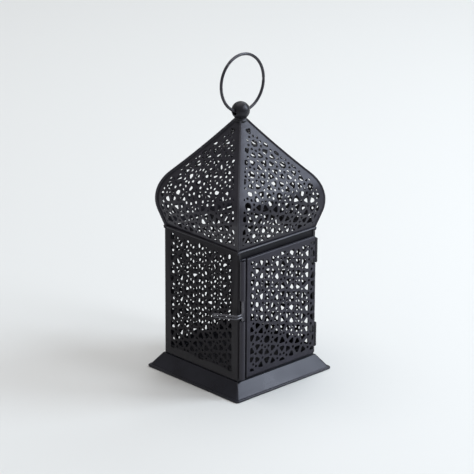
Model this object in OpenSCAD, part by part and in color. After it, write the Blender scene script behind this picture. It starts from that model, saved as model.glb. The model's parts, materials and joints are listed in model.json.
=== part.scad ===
// Moroccan lantern in pierced sheet metal: flared base, square body with a
// hinged door, onion-shaped roof and a hanging ring.
// Millimetres, +Z up. The origin is the middle of the base's underside.
// The door is on the -Y side, hinged at +X, with its latch at -X.

/* [Base] */
// Width of the base across its rolled lip
base_w = 120; // [118:0.5:122]
// Diameter of the base's rolled lip
lip_d = 2.6; // [2.2:0.1:3]

/* [Body] */
// Outside width of the square body
body_w = 96.6; // [96:0.1:97]
// Height of the body's lower edge
body_z0 = 15.4; // [15:0.1:16]
// Height of the body's top edge, where the roof starts
body_z1 = 137.5; // [137:0.1:138]
// Thickness of every sheet
sheet_t = 0.8; // [0.7:0.05:0.9]
// Height of the floor tray's upturned edge
tray_h = 7.5; // [6:0.5:9]
// Height of the recessed line between the body and the base
reveal = 1.2; // [0.8:0.1:1.4]

/* [Roof] */
// Half width of the roof at its widest
bulge_w = 53.5; // [53:0.05:54]
// Height of the widest point
bulge_z = 164.5; // [164:0.1:165]
// Radius of the bulge
bulge_r = 38; // [37:0.5:39]
// Radius of the hollow curve that runs up to the apex
sweep_r = 715; // [650:5:800]
// How far the standing seams stand out of the ridges
seam_h = 1; // [0.8:0.1:1.2]
// How far the roof's flange stands out over the walls
hem = 0.8; // [0:0.1:1]

/* [Pierced pattern] */
// Distance between neighbouring rosettes
rosette_pitch = 32.8; // [32.4:0.1:33.2]
// Radius of the hole in a rosette's middle
eye_r = 3.5; // [3.2:0.1:3.7]
// Radius of the small round holes
dot_r = 1.25; // [1:0.05:1.35]

/* [Door] */
// Left edge of the door's face
door_x0 = -40; // [-40.5:0.1:-39.5]
// Right edge of the door's face
door_x1 = 46.4; // [46.2:0.1:46.4]
// Lower edge of the door
door_z0 = 17; // [16.8:0.1:17.4]
// Upper edge of the door
door_z1 = 131; // [130.6:0.1:131.2]
// How far the door's face stands in front of the body
door_proud = 3; // [2.9:0.05:3.1]

/* [Hinges and latch] */
// Radius of the hinge pins
pin_r = 0.9; // [0.8:0.05:0.9]
// Outside radius of the hinge knuckles
knuckle_r = 1.6; // [1.5:0.05:1.6]
// Radius of the latch wire
latch_r = 1; // [0.9:0.05:1]
// Outside radius of the rolled edge that holds the latch
roll_r = 2.5; // [2.4:0.05:2.5]
// Radial clearance of the pins and of the latch wire
fit = 0.08; // [0.06:0.01:0.09]

/* [Finial and ring] */
// Height of the ball's centre
ball_z = 247.8; // [247.5:0.1:248]
// Radius of the ball
ball_r = 8.3; // [8.2:0.1:8.6]
// Radius of the ring's centreline
ring_r = 26; // [25.5:0.1:26.5]
// Radius of the ring's wire
ring_wire_r = 1.35; // [1.2:0.05:1.4]

/* [Hidden] */
$fn = 48;

metal = "#2c2e35";
metal_light = "#3a3d46";
metal_dark = "#222329";

half_w = body_w / 2;
inner_w = half_w - sheet_t;
frame_back = inner_w - sheet_t;      // inside face of the front frame and of the back panel
corner_lap = 3.2;                    // width of the side panels' folded corners
lip_flat = 0.1;                      // flattening of the lip where it stands on the table

// Rosettes lie on a rhombic lattice whose angle is that of a ten-fold star
step_x = rosette_pitch * cos(54);
step_z = rosette_pitch * sin(54);
dot_ring = 7.2;                      // radius of the inner ring of dots
petal_ring = 12.4;                   // radius of the ring of petals
outer_ring = 17.2;                   // radius of the outer ring of dots
petal_r = [1.9, 1.25];               // petal: corner distance and corner radius
kite_r = [2.4, 1.3];                 // larger petal between neighbouring rosettes
kite_off = 6.6;                      // its distance from the line of two rosettes

window_w = 40;                       // half width of every flat pierced window
panel_mid_z = 77.6;                  // middle of the side and back panels' windows
panel_window_h = 55.6;
door_mid_x = 4.2;
door_mid_z = (door_z0 + door_z1) / 2;
door_window_h = 52.6;

// Roof profile: a straight lower part, the bulge, and a hollow sweep to the apex
foot_a = -asin(0.28);                // lean of the profile at the foot of the bulge
neck_a = 41.5;                       // and at its top
apex_a = 36.4;                       // and at the apex
bulge_x = bulge_w - bulge_r;
foot = [bulge_x + bulge_r * cos(foot_a), bulge_z + bulge_r * sin(foot_a)];
neck = [bulge_x + bulge_r * cos(neck_a), bulge_z + bulge_r * sin(neck_a)];
sweep_c = neck + sweep_r * [cos(neck_a), sin(neck_a)];
apex = sweep_c - sweep_r * [cos(apex_a), sin(apex_a)];
foot_run = (foot[1] - body_z1) / cos(foot_a);
eave = foot - foot_run * [-sin(foot_a), cos(foot_a)];
bulge_run = bulge_r * (neck_a - foot_a) * PI / 180;
sweep_run = sweep_r * (neck_a - apex_a) * PI / 180;
roof_rosette_s = 43.3;               // a rosette's place along the roof's middle line
roof_margin = 4.8;                   // plain border along the ridges
seam_t = 2 * sheet_t;

hinge_x = 47;
hinge_y = -50;
hinge_h = 22;
hinge_gap = 0.3;
knuckle_h = 7;
upper_hinge_z = 106;
lower_hinge_z = 24;
leaf_t = 0.5;
pin_over = 1;                        // how far a pin stands out of its knuckles

door_y = -half_w - door_proud;
door_back = door_y + sheet_t;
door_return = 1.5;                   // depth of the door's folded edges
roll_x = -45.7;
roll_y = -half_w - 0.3 - roll_r;
roll_upper_z0 = 93;
roll_lower_z1 = 73;
latch_upper_z = 79.5;
latch_gap = 2.5;                     // between the centrelines of the latch's two legs
latch_reach = 19.5;
bend_swell = 0.04;                   // the wire is a touch thicker at the ends of its bends

ring_shift = 3.2;                    // the ring hangs a little turned in its hole
ring_lean = 3;
ball_hole_r = 2.8;
neck_r = 6.4;
stud_r = 2;
nut_af = 7;
nut_h = 3.2;
washer_w = 8.05;
washer_z = 230.7;
washer_t = 1.2;

// ---- Pierced pattern ----

// A triangle with cut corners, its point towards the angle a
module petal(size, a) {
    rotate(a) polygon([
        for (k = [0 : 2], e = [-60, 60])
            size[0] * [cos(120 * k), sin(120 * k)] + size[1] * [cos(120 * k + e), sin(120 * k + e)]
    ]);
}

// Draws its child at p if p lies within the window, and clips it to the window
module within(p, r, w, h) {
    if (abs(p[0]) < w + 0.2 * r && abs(p[1]) < h + 0.2 * r) {
        if (abs(p[0]) + r > w || abs(p[1]) + r > h) {
            intersection() {
                translate(p) children();
                square([2 * w, 2 * h], center = true);
            }
        } else {
            translate(p) children();
        }
    }
}

// All holes of a window, w and h being its half width and half height
module pattern(w, h) {
    n = ceil(h / step_z) + 1;
    for (i = [-n : n], j = [-n : n]) {
        c = [(i + j) * step_x, (i - j) * step_z];
        within(c, eye_r, w, h) circle(eye_r);
        for (k = [0 : 9]) {
            a = 36 * k;
            within(c + dot_ring * [cos(a), sin(a)], dot_r, w, h) circle(dot_r, $fn = 24);
            within(c + petal_ring * [cos(a + 18), sin(a + 18)], petal_r[0] + petal_r[1], w, h)
                petal(petal_r, a + 198);
        }
        for (k = [0 : 5])
            within(c + outer_ring * [cos(36 * k), sin(36 * k)], dot_r, w, h) circle(dot_r, $fn = 24);
        for (s = [-1, 1])
            within(c + [step_x, s * kite_off], kite_r[0] + kite_r[1], w, h) petal(kite_r, -90 * s);
    }
}

// Stands a flat outline up, so that its front faces -Y at y and its thickness runs towards +Y
module upright(y, t) {
    translate([0, y + t, 0]) rotate([90, 0, 0]) linear_extrude(t) children();
}

// ---- Four-sided shapes ----

// A wall whose section (distance from the axis, height) is the child, mitred at its corners
module wall(reach, inset = 0) {
    intersection() {
        rotate([90, 0, -90]) linear_extrude(2 * reach, center = true) children();
        translate([0, -inset * sqrt(2), -1])
            linear_extrude(400) polygon([[0, 0], [-reach, -reach], [reach, -reach]]);
    }
}

// ---- Base ----

// A flange that carries the walls, a step down, the slope, a flare and the rolled lip
module skirt_section() {
    slope_end = [base_w / 2 - 3.8, 5.2];
    rim_x = base_w / 2 - lip_d / 2;
    drop_x = half_w - 0.4;
    shelf_z = body_z0 - reveal;
    shelf_end = [half_w + 1.1, shelf_z];
    polygon([
        [half_w - 5, body_z0 - sheet_t], [half_w - 5, body_z0], [drop_x, body_z0],
        [drop_x, shelf_z], shelf_end, slope_end,
        slope_end + [1.1, -1.2], [rim_x, lip_d], [rim_x, lip_d - sheet_t - lip_flat],
        slope_end + [0.4, -1.9], slope_end + [-0.7, -0.6], shelf_end + [-0.5, -sheet_t],
        [drop_x - sheet_t, shelf_z - sheet_t], [drop_x - sheet_t, body_z0 - sheet_t]
    ]);
    translate([rim_x, lip_d / 2 - lip_flat]) difference() {
        circle(lip_d / 2);
        translate([-lip_d, lip_flat - 1.5 * lip_d]) square([2 * lip_d, lip_d]);
    }
}

module base_skirt() {
    color(metal_light)
        for (k = [0 : 3]) rotate(90 * k) wall(base_w / 2 + 1) skirt_section();
}

module floor_tray() {
    w = inner_w - 0.2;
    d = frame_back - 0.2;
    color(metal_dark)
        translate([0, 0, body_z0]) difference() {
            translate([-w, -d, 0]) cube([2 * w, 2 * d, sheet_t + tray_h]);
            translate([sheet_t - w, sheet_t - d, sheet_t])
                cube([2 * (w - sheet_t), 2 * (d - sheet_t), tray_h + 1]);
        }
}

// ---- Body ----

// A pierced sheet of half width w, its window centred at the height mid_z
module pierced_sheet(w, mid_z) {
    difference() {
        translate([-w, body_z0]) square([2 * w, body_z1 - body_z0]);
        translate([0, mid_z]) pattern(window_w, panel_window_h);
    }
}

// A side panel with both corners folded round, as it lies on the -Y side
module side_panel() {
    upright(-half_w, sheet_t) pierced_sheet(half_w, panel_mid_z);
    for (s = [-1, 1])
        translate([s > 0 ? half_w - sheet_t : -half_w, -half_w + sheet_t, body_z0])
            cube([sheet_t, corner_lap - sheet_t, body_z1 - body_z0]);
}

module left_panel() {
    color(metal) rotate(-90) side_panel();
}

module right_panel() {
    color(metal) rotate(90) side_panel();
}

// The back panel, with a row of vent slots under the roof
module back_panel() {
    slot = [6, 1.3];
    slot_pitch = 7;
    color(metal)
        rotate(180) upright(-inner_w, sheet_t) difference() {
            pierced_sheet(inner_w, panel_mid_z);
            for (k = [-5.5 : 5.5])
                translate([k * slot_pitch - slot[0] / 2, body_z1 - 2.1]) square(slot);
        }
}

// The plain frame round the door's opening
module front_frame() {
    open_w = 41;
    open_z = [20, 127];
    color(metal)
        upright(-inner_w, sheet_t) difference() {
            translate([-inner_w, body_z0]) square([2 * inner_w, body_z1 - body_z0]);
            translate([-open_w, open_z[0]]) square([2 * open_w, open_z[1] - open_z[0]]);
        }
}

// ---- Roof ----

// Point and lean of the profile at the distance s along it from the eave
function roof_at(s) =
    s < foot_run ? [eave + s * [-sin(foot_a), cos(foot_a)], foot_a]
    : s < foot_run + bulge_run ?
        let (a = foot_a + (s - foot_run) / bulge_r * 180 / PI)
        [[bulge_x, bulge_z] + bulge_r * [cos(a), sin(a)], a]
    : let (a = neck_a - (s - foot_run - bulge_run) / sweep_r * 180 / PI)
        [sweep_c - sweep_r * [cos(a), sin(a)], a];

// A wedge of radius r between the angles a and b
module wedge(r, a, b) {
    polygon([[0, 0], r * [cos(a), sin(a)], r * [cos((a + b) / 2), sin((a + b) / 2)], r * [cos(b), sin(b)]]);
}

// A length of sheet bent to an arc round c, between two radii and two angles
module bent(c, r0, r1, a, b, fn) {
    translate(c) intersection() {
        difference() {
            circle(r1, $fn = fn);
            circle(r0, $fn = fn);
        }
        wedge(1.2 * r1, a, b);
    }
}

// Section of the roof's sheet in one of its three zones: the straight foot with the
// flange that rests on the body, the bulge and the sweep
module roof_section(zone) {
    inward = -sheet_t * [cos(foot_a), sin(foot_a)];
    flange_top = eave - sheet_t * [tan(foot_a), -1];
    if (zone == 0) polygon([
        [half_w + hem, eave[1]], [half_w + hem, eave[1] + sheet_t], flange_top,
        foot, foot + inward, eave + [-sheet_t / cos(foot_a), 0]
    ]);
    if (zone == 1) bent([bulge_x, bulge_z], bulge_r - sheet_t, bulge_r, foot_a, neck_a, 180);
    if (zone == 2) bent(sweep_c, sweep_r, sweep_r + sheet_t, neck_a + 180, apex_a + 180, 1440);
}

// Draws its child at the distance x across and s along the sheet, facing outwards,
// if it leaves the plain border free
module on_roof(x, s, r) {
    if (s > r + 4 && s < 112 - r) {
        p = roof_at(s);
        lean = p[1] > foot_a + 1 ? 1.15 : 1;
        if (abs(x) < p[0][0] - r - roof_margin * lean)
            translate([x, -p[0][0], p[0][1]]) rotate([90 - p[1], 0, 0]) children();
    }
}

module roof_hole(r) {
    translate([0, 0, -3]) cylinder(h = 6, r = r);
}

module roof_petal(size, a) {
    translate([0, 0, -3]) linear_extrude(6) petal(size, a);
}

module roof_holes() {
    for (i = [-3 : 3], j = [-3 : 3]) {
        c = [(i + j) * step_x, roof_rosette_s + (i - j) * step_z];
        on_roof(c[0], c[1], eye_r) roof_hole(eye_r);
        for (k = [0 : 9]) {
            d = c + dot_ring * [cos(36 * k), sin(36 * k)];
            p = c + petal_ring * [cos(36 * k + 18), sin(36 * k + 18)];
            on_roof(d[0], d[1], dot_r) roof_hole(dot_r, $fn = 24);
            on_roof(p[0], p[1], petal_r[0]) roof_petal(petal_r, 36 * k + 198);
        }
        for (k = [0 : 5]) {
            d = c + outer_ring * [cos(36 * k), sin(36 * k)];
            on_roof(d[0], d[1], dot_r) roof_hole(dot_r, $fn = 24);
        }
        for (s = [-1, 1]) {
            p = c + [step_x, s * kite_off];
            on_roof(p[0], p[1], kite_r[0]) roof_petal(kite_r, -90 * s);
        }
    }
}

module roof_panel(turn) {
    color(metal_light)
        rotate(turn) for (zone = [0 : 2]) difference() {
            wall(bulge_w + 6, inset = sheet_t) roof_section(zone);
            roof_holes();
        }
}

module roof_front() { roof_panel(0); }
module roof_right() { roof_panel(90); }
module roof_back() { roof_panel(180); }
module roof_left() { roof_panel(270); }

// The ridge in its own diagonal plane, moved outwards by d
function ridge_line(d) = [
    for (k = [0 : 40])
        let (p = roof_at(k / 40 * (foot_run + bulge_run + sweep_run)))
        [p[0][0] * sqrt(2) + d, p[0][1]]
];

function reversed(v) = [for (k = [len(v) - 1 : -1 : 0]) v[k]];

// A standing seam along the ridge that points towards the angle a
module ridge_seam(a) {
    color(metal)
        rotate(a) rotate([90, 0, 0]) linear_extrude(seam_t, center = true)
            polygon(concat(ridge_line(seam_h), reversed(ridge_line(-1.2))));
}

module seam_front_right() { ridge_seam(-45); }
module seam_back_right() { ridge_seam(45); }
module seam_back_left() { ridge_seam(135); }
module seam_front_left() { ridge_seam(225); }

// ---- Finial and ring ----

module ball_finial() {
    stud_z = washer_z - nut_h - 1.5;
    color(metal)
        difference() {
            union() {
                translate([0, 0, ball_z]) sphere(ball_r, $fn = 96);
                translate([0, 0, apex[1]]) cylinder(h = ball_z - ball_r + 3 - apex[1], r1 = neck_r, r2 = 5.6);
                translate([0, 0, stud_z]) cylinder(h = ball_z - ball_r - stud_z, r = stud_r);
            }
            translate([0, 0, ball_z]) rotate([0, 90, 0])
                cylinder(h = 4 * ball_r, r = ball_hole_r, center = true);
        }
}

module apex_washer() {
    color(metal_dark)
        translate([0, 0, washer_z]) difference() {
            translate([-washer_w, -washer_w, 0]) cube([2 * washer_w, 2 * washer_w, washer_t]);
            translate([0, 0, -1]) cylinder(h = washer_t + 2, r = stud_r);
        }
}

module finial_nut() {
    color(metal_light)
        translate([0, 0, washer_z - nut_h]) difference() {
            cylinder(h = nut_h, r = nut_af / 2 / cos(30), $fn = 6);
            translate([0, 0, -1]) cylinder(h = nut_h + 2, r = stud_r);
        }
}

// The ring threads the ball, turned a little in its hole and leaning slightly back
module hanging_ring() {
    drop = ring_r - sqrt(ring_r * ring_r - pow(ball_r + ring_shift, 2));
    color(metal)
        translate([0, 0, ball_z]) rotate([-ring_lean, 0, 0])
            translate([ring_shift, 0, ring_r - drop / 2]) rotate([90, 0, 0])
                rotate_extrude($fn = 120) translate([ring_r, 0]) circle(ring_wire_r, $fn = 24);
}

// ---- Door ----

// Where the door's right edge is cut back for the hinges and their pins
module hinge_cut() {
    room = pin_over + hinge_gap;
    for (z = [lower_hinge_z, upper_hinge_z])
        translate([hinge_x - knuckle_r - hinge_gap, z - room])
            square([10, hinge_h + 2 * room]);
}

module door_panel() {
    r = 2.5;
    stile_y = door_y + 1.6;
    h = door_z1 - door_z0;
    color(metal_light) {
        upright(door_y, sheet_t) difference() {
            union() {
                translate([door_x0, door_z0]) square([door_x1 - r - door_x0, h]);
                translate([door_x0, door_z0 + r]) square([door_x1 - door_x0, h - 2 * r]);
                for (z = [door_z0 + r, door_z1 - r]) translate([door_x1 - r, z]) circle(r);
            }
            hinge_cut();
            translate([door_mid_x, door_mid_z]) pattern(window_w, door_window_h);
        }
        // folded edges: top and bottom, then right
        for (z = [door_z0, door_z1 - sheet_t])
            translate([door_x0, door_back, z]) cube([door_x1 - r - door_x0, door_return, sheet_t]);
        upright(door_back, door_return) difference() {
            translate([door_x1 - sheet_t, door_z0 + r]) square([sheet_t, h - 2 * r]);
            hinge_cut();
        }
        // stepped strip that carries the rolled edge
        difference() {
            union() {
                translate([door_x0 - sheet_t, door_y, door_z0])
                    cube([sheet_t, stile_y + sheet_t - door_y, h]);
                translate([roll_x, stile_y, door_z0]) cube([door_x0 - roll_x - sheet_t, sheet_t, h]);
            }
            translate([roll_x, roll_y, door_z0 - 1]) cylinder(h = h + 2, r = roll_r);
        }
    }
}

// A length of the rolled edge, bored for the latch wire
module rolled_edge(z0, z1) {
    color(metal)
        translate([roll_x, roll_y, z0]) difference() {
            cylinder(h = z1 - z0, r = roll_r);
            translate([0, 0, -1]) cylinder(h = z1 - z0 + 2, r = latch_r + fit);
        }
}

module rolled_edge_upper() { rolled_edge(roll_upper_z0, door_z1 - 0.5); }
module rolled_edge_lower() { rolled_edge(door_z0, roll_lower_z1); }

// ---- Latch ----

// A straight run of wire along +Z, its child at the far end
module run(length) {
    cylinder(h = length, r = latch_r, $fn = 24);
    translate([0, 0, length]) children();
}

// A bend through the angle a, of centreline radius r, towards the side at the angle roll
module bend(r, a, roll) {
    rotate(roll) {
        translate([r, 0, 0]) rotate([90, 0, 180])
            rotate_extrude(angle = a) translate([r, 0]) circle(latch_r, $fn = 24);
        sphere(latch_r + bend_swell);
        translate([r, 0, 0]) rotate([0, a, 0]) translate([-r, 0, 0]) {
            sphere(latch_r + bend_swell);
            children();
        }
    }
}

// A hairpin of wire: it pivots in the rolled edge and reaches round the body's corner
module latch_wire() {
    upper_end = 103;
    lower_end = 63;
    upper_bend = 3;
    lower_bend = 2;
    corner_bend = 3;
    clear = 5;                       // from the pivot to the start of the corner bend
    corner_a = 68;
    lower_z = latch_upper_z - latch_gap;
    color(metal)
        translate([roll_x, roll_y, upper_end]) rotate([180, 0, 0])
            run(upper_end - latch_upper_z - upper_bend) bend(upper_bend, 90, 180)
            run(clear - upper_bend) bend(corner_bend, corner_a, 90)
            run(latch_reach) bend(latch_gap / 2, 180, 90)
            run(latch_reach) bend(corner_bend, corner_a, -90)
            run(clear - lower_bend) bend(lower_bend, 90, -90)
            run(lower_z - lower_bend - lower_end);
}

// ---- Hinges ----

module knuckle(z0, z1) {
    translate([hinge_x, hinge_y, z0]) cylinder(h = z1 - z0, r = knuckle_r);
}

module pin_bore(z0) {
    translate([hinge_x, hinge_y, z0 - 1]) cylinder(h = hinge_h + 2, r = pin_r + fit);
}

// The half of a hinge that is welded to the body: two outer knuckles and a leaf
module frame_leaf(z0) {
    leaf_x = 42.6;
    color(metal)
        difference() {
            union() {
                for (z = [z0, z0 + hinge_h - knuckle_h]) {
                    knuckle(z, z + knuckle_h);
                    translate([leaf_x, -half_w - leaf_t, z])
                        cube([hinge_x - leaf_x, leaf_t, knuckle_h]);
                }
                translate([leaf_x, -half_w - leaf_t, z0])
                    cube([hinge_x - knuckle_r - hinge_gap - leaf_x, leaf_t, hinge_h]);
            }
            pin_bore(z0);
        }
}

// The half of a hinge that is welded to the door: one middle knuckle and a leaf
module door_leaf(z0) {
    leaf_x = 45;
    z = z0 + knuckle_h + hinge_gap;
    h = hinge_h - 2 * (knuckle_h + hinge_gap);
    color(metal)
        difference() {
            union() {
                knuckle(z, z + h);
                translate([leaf_x - 4, door_back, z]) cube([hinge_x - leaf_x + 4, leaf_t, h]);
                translate([leaf_x - 4, door_back, z0]) cube([4, leaf_t, hinge_h]);
            }
            pin_bore(z0);
        }
}

// A pin with a domed head at each end
module hinge_pin(z0) {
    color(metal_light)
        translate([hinge_x, hinge_y, z0]) {
            cylinder(h = hinge_h, r = pin_r);
            for (z = [-pin_over, hinge_h]) translate([0, 0, z]) cylinder(h = pin_over, r = pin_r + 0.4);
        }
}

module frame_leaf_upper() { frame_leaf(upper_hinge_z); }
module frame_leaf_lower() { frame_leaf(lower_hinge_z); }
module door_leaf_upper() { door_leaf(upper_hinge_z); }
module door_leaf_lower() { door_leaf(lower_hinge_z); }
module hinge_pin_upper() { hinge_pin(upper_hinge_z); }
module hinge_pin_lower() { hinge_pin(lower_hinge_z); }

base_skirt();
floor_tray();
left_panel();
right_panel();
back_panel();
front_frame();
roof_front();
roof_right();
roof_back();
roof_left();
seam_front_right();
seam_back_right();
seam_back_left();
seam_front_left();
ball_finial();
apex_washer();
finial_nut();
hanging_ring();
door_panel();
rolled_edge_upper();
rolled_edge_lower();
latch_wire();
frame_leaf_upper();
frame_leaf_lower();
door_leaf_upper();
door_leaf_lower();
hinge_pin_upper();
hinge_pin_lower();
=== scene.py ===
import json
import math

import bpy
import numpy as np
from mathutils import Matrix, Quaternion, Vector
from mathutils.geometry import delaunay_2d_cdt

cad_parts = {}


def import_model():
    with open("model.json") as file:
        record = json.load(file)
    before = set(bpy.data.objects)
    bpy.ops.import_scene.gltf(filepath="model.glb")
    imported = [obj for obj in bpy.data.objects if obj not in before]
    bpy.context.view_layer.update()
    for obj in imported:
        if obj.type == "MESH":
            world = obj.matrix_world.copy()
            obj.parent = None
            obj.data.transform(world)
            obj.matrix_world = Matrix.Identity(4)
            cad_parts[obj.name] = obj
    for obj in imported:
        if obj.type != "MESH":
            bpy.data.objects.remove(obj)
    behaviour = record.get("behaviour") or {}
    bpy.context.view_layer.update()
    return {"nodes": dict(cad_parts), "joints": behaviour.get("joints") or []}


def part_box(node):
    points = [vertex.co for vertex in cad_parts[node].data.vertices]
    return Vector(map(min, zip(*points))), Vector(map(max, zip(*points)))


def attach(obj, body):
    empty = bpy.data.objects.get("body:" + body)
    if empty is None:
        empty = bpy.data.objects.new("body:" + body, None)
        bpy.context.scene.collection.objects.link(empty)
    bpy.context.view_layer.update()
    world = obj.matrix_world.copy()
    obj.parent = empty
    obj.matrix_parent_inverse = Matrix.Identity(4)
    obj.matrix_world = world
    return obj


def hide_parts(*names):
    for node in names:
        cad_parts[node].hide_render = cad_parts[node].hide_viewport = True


# The looks of a square lantern in pierced sheet metal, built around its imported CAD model.
# Geometry is worked out in millimetres and turned into metres where a mesh is made.
# A sheet is drawn flat, in (u, v) seen from its outer face, then folded or bent into place.

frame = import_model()
MM = 0.001


# ---- Sizes, in millimetres, taken from the frame where it has them ----

def cad_box(node):
    lo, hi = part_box(node)
    return np.array(lo) / MM, np.array(hi) / MM


def joint(name):
    return next(j for j in frame["joints"] if j["name"] == name)


LEFT_LO, LEFT_HI = cad_box("left_panel")
FRONT_LO, FRONT_HI = cad_box("front_frame")
DOOR_LO, DOOR_HI = cad_box("door_panel")
ROOF_LO, ROOF_HI = cad_box("roof_front")
SKIRT_HI = cad_box("base_skirt")[1]
TRAY_LO, TRAY_HI = cad_box("floor_tray")

HALF = -LEFT_LO[0]                       # half width of the body
BODY_Z0, BODY_Z1 = LEFT_LO[2], LEFT_HI[2]
SHEET = FRONT_HI[1] - FRONT_LO[1]        # thickness of every sheet
EDGE = 0.12                              # rounding of a sheet's cut edges
FOLD = 1.3                               # outer radius of a fold
LAP = LEFT_HI[0] - LEFT_LO[0]            # width of the side panels' folded corners
REVEAL = 1.2                             # recessed line between the body and the base

# The pierced pattern: rosettes on a rhombic lattice whose angle is a ten-fold star's
PITCH = 32.8
STEP_U = PITCH * math.cos(math.radians(54))
STEP_V = PITCH * math.sin(math.radians(54))
EYE = 3.5                                # radius of a rosette's round middle hole
DOT = 1.25                               # radius of its small round holes
DOT_RING = 7.2                           # how far from the middle its holes lie
PETAL_RING = 12.4
OUTER_RING = 17.2
PETAL = (1.9, 1.25)                      # distance of its corners, radius of its corners
KITE = (2.4, 1.3)                        # the same for the larger petals between neighbours
KITE_OFF = 6.6
WINDOW_U = 40.0                          # half width of the flat pierced windows
PANEL_WINDOW_V = 55.6
PANEL_MID_V = 77.6
DOOR_WINDOW_V = 52.6
DOOR_MID_U = 4.2

# The roof's profile: a straight foot, a bulge and a hollow sweep up to the apex
BULGE_R = 38.0
BULGE_Z = 164.5
BULGE_X = -ROOF_LO[1] - BULGE_R
SWEEP_R = 715.0
FOOT_A = -math.asin(0.28)
NECK_A = math.radians(41.5)
APEX_A = math.radians(36.4)
ROSETTE_S = 43.3
EDGE_BEND_W = 7.5                        # width of the border that is bent towards the ridge
EDGE_BEND_A = math.radians(15)
PATTERN_S = (4.5, 112.0)                 # where the roof's pattern starts and ends


def polar(r, a):
    return np.stack([r * np.cos(a), r * np.sin(a)], axis=-1)


FOOT = np.array([BULGE_X, BULGE_Z]) + polar(BULGE_R, FOOT_A)
NECK = np.array([BULGE_X, BULGE_Z]) + polar(BULGE_R, NECK_A)
SWEEP_C = NECK + polar(SWEEP_R, NECK_A)
FOOT_RUN = (FOOT[1] - BODY_Z1) / math.cos(FOOT_A)
BULGE_RUN = BULGE_R * (NECK_A - FOOT_A)
SWEEP_RUN = SWEEP_R * (NECK_A - APEX_A)
ROOF_RUN = FOOT_RUN + BULGE_RUN + SWEEP_RUN
EAVE = FOOT - FOOT_RUN * np.array([-math.sin(FOOT_A), math.cos(FOOT_A)])
CREASE_R = 0.25                          # inner radius of the crease above the roof's flange
CREASE_TURN = math.pi / 2 - FOOT_A
HEM = 0.8                                # how far the roof's flange stands out over the walls
CREASE_S = (SHEET + CREASE_R * (1 + math.sin(FOOT_A))) / math.cos(FOOT_A)
HEM_BEVEL = 0.5                          # width of the slope along the flange's outer edge
FLANGE_S = CREASE_S - CREASE_R * CREASE_TURN - HEM


# ---- Meshes ----

class Mesh:
    """Vertices, faces and, where they are given, normals, gathered before one object is made."""

    def __init__(self):
        self.points = []
        self.normals = []
        self.faces = []
        self.count = 0

    def add(self, points, faces, normals=None):
        points = np.asarray(points, float)
        self.points.append(points)
        self.normals.append(np.zeros_like(points) if normals is None else np.asarray(normals))
        self.faces += [[int(i) + self.count for i in face] for face in faces]
        self.count += len(points)

    def turned(self, degrees):
        """Turns everything so far about the Z axis."""
        a = math.radians(degrees)
        turn = np.array([[math.cos(a), math.sin(a), 0], [-math.sin(a), math.cos(a), 0], [0, 0, 1]])
        self.points = [p @ turn for p in self.points]
        self.normals = [n @ turn for n in self.normals]
        return self

    def piece(self, name, body, nodes, slot, material, sharp=35):
        """Makes the object. Edges sharper than sharp stay hard where no normals are given."""
        data = bpy.data.meshes.new(name)
        data.from_pydata((np.concatenate(self.points) * MM).tolist(), [], self.faces)
        data.validate()
        data.shade_smooth()
        normals = np.concatenate(self.normals)
        if np.abs(normals).max() > 0:
            data.normals_split_custom_set_from_vertices(normals.tolist())
        else:
            data.set_sharp_from_angle(angle=math.radians(sharp))
        data.materials.append(material)
        obj = bpy.data.objects.new(name, data)
        bpy.context.scene.collection.objects.link(obj)
        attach(obj, body)
        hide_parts(*nodes)


# ---- Flat outlines ----

def circle(centre, r, n=20):
    return np.asarray(centre) + polar(r, np.linspace(0, 2 * math.pi, n, endpoint=False))


def arc(centre, r, a, b, n):
    return np.asarray(centre) + polar(r, np.radians(np.linspace(a, b, n)))


def petal(centre, size, a):
    """A triangle with round corners, one of which points towards the angle a."""
    corners = []
    for k in range(3):
        b = a + 120 * k
        corners.append(arc(centre + polar(size[0], math.radians(b)), size[1], b - 60, b + 60, 6))
    return np.concatenate(corners)


def slot_hole(centre, length, width):
    half = length / 2 - width / 2
    x, y = centre
    ends = [arc((x + half, y), width / 2, -90, 90, 6), arc((x - half, y), width / 2, 90, 270, 6)]
    return np.concatenate(ends)


def rectangle(u0, v0, u1, v1):
    return np.array([[u0, v0], [u1, v0], [u1, v1], [u0, v1]], float)


def area(loop):
    u, v = loop[:, 0], loop[:, 1]
    return 0.5 * float(np.sum(u * np.roll(v, -1) - v * np.roll(u, -1)))


def clipped(loop, n, d):
    """The part of a convex loop where n . p <= d."""
    out = []
    side = loop @ np.asarray(n) - d
    for k in range(len(loop)):
        j = (k + 1) % len(loop)
        if side[k] <= 0:
            out.append(loop[k])
        if (side[k] < 0 < side[j]) or (side[j] < 0 < side[k]):
            t = side[k] / (side[k] - side[j])
            out.append(loop[k] + t * (loop[j] - loop[k]))
    return np.array(out).reshape(-1, 2)


def miters(loop):
    """At each point of a loop, how it moves when the loop's right-hand side grows by 1, and the
    unit vector that way."""
    ahead = np.roll(loop, -1, axis=0) - loop
    ahead /= np.maximum(np.linalg.norm(ahead, axis=1, keepdims=True), 1e-9)
    right = np.stack([ahead[:, 1], -ahead[:, 0]], axis=1)
    both = right + np.roll(right, 1, axis=0)
    both /= np.maximum(np.linalg.norm(both, axis=1, keepdims=True), 1e-9)
    spread = np.maximum(np.sum(both * right, axis=1, keepdims=True), 0.4)
    return both / spread, both


def without_short_edges(loop, least=0.05):
    keep = np.linalg.norm(loop - np.roll(loop, 1, axis=0), axis=1) > least
    return loop[keep]


def grown(loop, d):
    """A counter-clockwise loop, moved outwards by d."""
    return loop + d * miters(loop)[0]


# ---- The pierced pattern ----

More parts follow.
